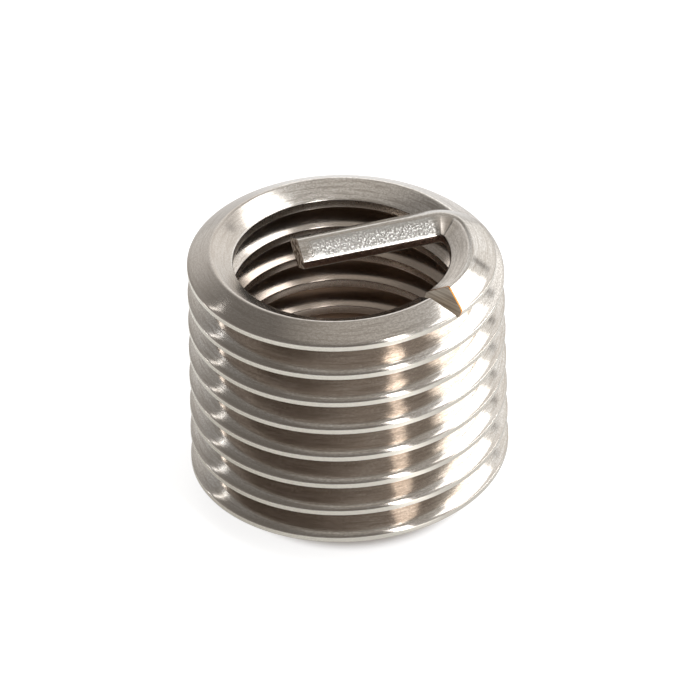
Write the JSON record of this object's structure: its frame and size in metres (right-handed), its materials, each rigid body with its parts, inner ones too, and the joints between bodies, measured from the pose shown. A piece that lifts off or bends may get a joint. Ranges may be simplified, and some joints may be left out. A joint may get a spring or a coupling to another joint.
{
  "type": "wire thread insert",
  "caption": "Close-wound coil of diamond-section wire with a V break-off notch and a driving tang across its bore; turns a tapped hole into a hard-wearing smaller thread.",
  "frame": {"origin": "centre of the bounding box at the lowest point of the bottom turn; the coil's axis runs up Z within 0.3 mm of it", "axes": "+Z along the coil's axis from the plain end to the tang end; -Y is the front, seen with the notch at the right"},
  "size_m": [0.0126, 0.0126, 0.0121],
  "materials": {
    "wire": "drawn stainless wire, satin with bright crests"
  },
  "bodies": {
    "root": {"thread_insert": "wire"}
  },
  "joints": []
}
